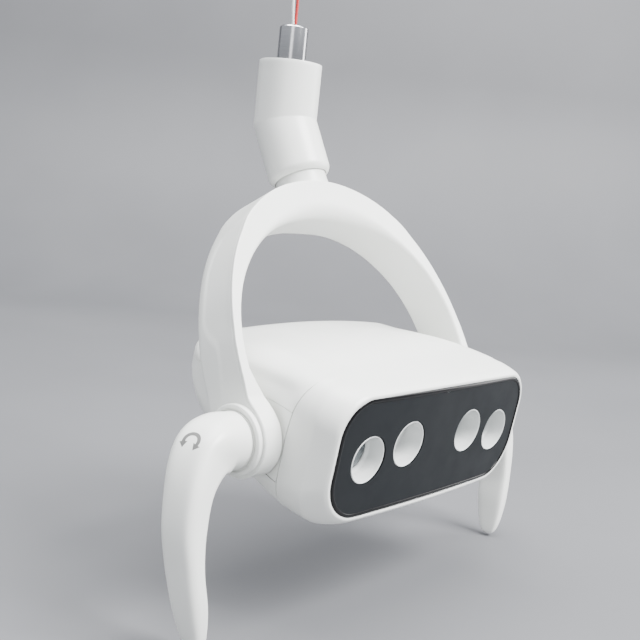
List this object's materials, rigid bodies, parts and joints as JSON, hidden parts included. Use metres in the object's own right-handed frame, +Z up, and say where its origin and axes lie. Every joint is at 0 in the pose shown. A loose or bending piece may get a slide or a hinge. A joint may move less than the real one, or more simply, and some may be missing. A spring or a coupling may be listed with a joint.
{
  "type": "dental operating light",
  "caption": "Dental operating light: white yoke on a cranked elbow with a steel pin, tilting head with a dark front panel, and two curved pull-off handles.",
  "frame": {"origin": "on the lamp pin's axis, halfway along its gripped length", "axes": "+Z up along the pin, +X along the tilt axis towards the right handle, -Y towards the side where the light comes out"},
  "size_m": [0.3744, 0.1997, 0.4356],
  "materials": {
    "white_housing": "gloss, slightly warm white",
    "polished_pin": "turned and polished",
    "steel": "zinc plated",
    "bearing_plastic": "natural acetal",
    "white_reflector": "gloss white",
    "lens_glass": "clear, slightly grey",
    "led_module": "ceramic board with a yellow phosphor",
    "dark_panel": "satin dark grey",
    "black_trim": "gloss black",
    "aluminium": "as extruded",
    "circuit_board": "solder mask",
    "white_lead": "insulation",
    "red_lead": "insulation",
    "dark_cable": "cable sheath"
  },
  "bodies": {
    "pin": {"lamp_pin": "polished_pin", "pin_stop_dowel": "steel", "pin_thrust_washer": "bearing_plastic", "white_lead": "white_lead", "red_lead": "red_lead", "lead_connector": "white_lead"},
    "elbow": {"elbow_housing": "white_housing", "pin_cap_ring": "white_housing", "pin_bush": "bearing_plastic", "drag_grub_screw": "steel", "neck_bush": "bearing_plastic", "elbow_harness": "dark_cable"},
    "yoke": {"neck_shaft": "steel", "neck_collar": "white_housing", "neck_stop_washer": "steel", "neck_lock_nut": "steel", "yoke_frame": "steel", "yoke_front_shell": "white_housing", "yoke_rear_shell": "white_housing", "yoke_screws": "steel", "yoke_harness": "dark_cable", "left_pivot_bush": "bearing_plastic", "right_pivot_bush": "bearing_plastic", "left_arm_ring": "white_housing", "right_arm_ring": "white_housing"},
    "head": {"left_pivot_shaft": "steel", "right_pivot_shaft": "steel", "tilt_friction_washers": "bearing_plastic", "tilt_spring_washers": "steel", "tilt_lock_nuts": "steel", "bayonet_dowels": "steel", "chassis": "aluminium", "pivot_flange_screws": "steel", "front_housing": "white_housing", "top_cover": "white_housing", "bottom_cover": "white_housing", "cover_posts": "white_housing", "housing_screws": "steel", "heat_sink_screws": "steel", "front_panel": "dark_panel", "panel_gasket": "black_trim", "left_outer_reflector": "white_reflector", "left_inner_reflector": "white_reflector", "right_inner_reflector": "white_reflector", "right_outer_reflector": "white_reflector", "left_outer_lens": "lens_glass", "left_inner_lens": "lens_glass", "right_inner_lens": "lens_glass", "right_outer_lens": "lens_glass", "left_outer_led": "led_module", "left_inner_led": "led_module", "right_inner_led": "led_module", "right_outer_led": "led_module", "heat_sink": "aluminium", "driver_board": "circuit_board", "sensor_board": "circuit_board", "head_harness": "dark_cable"},
    "left_handle": {"left_handle": "white_housing"},
    "right_handle": {"right_handle": "white_housing"}
  },
  "joints": [
    {"name": "shaft_swivel", "type": "hinge", "parent": "pin", "child": "elbow", "pos_m": [0, 0, 0], "axis": [0, 0, 1], "range_deg": [-160, 160]},
    {"name": "yoke_swivel", "type": "hinge", "parent": "elbow", "child": "yoke", "pos_m": [0, 0, -0.0583], "axis": [0, 0.4679, 0.8838], "range_deg": [-160, 160]},
    {"name": "head_tilt", "type": "hinge", "parent": "yoke", "child": "head", "pos_m": [0, -0.10753, -0.26139], "axis": [1, 0, 0], "range_deg": [-45, 60]},
    {"name": "left_handle_release", "type": "hinge", "parent": "head", "child": "left_handle", "pos_m": [0, -0.10753, -0.26139], "axis": [1, 0, 0], "range_deg": [0, 40]},
    {"name": "right_handle_release", "type": "hinge", "parent": "head", "child": "right_handle", "pos_m": [0, -0.10753, -0.26139], "axis": [1, 0, 0], "range_deg": [0, 40]}
  ]
}
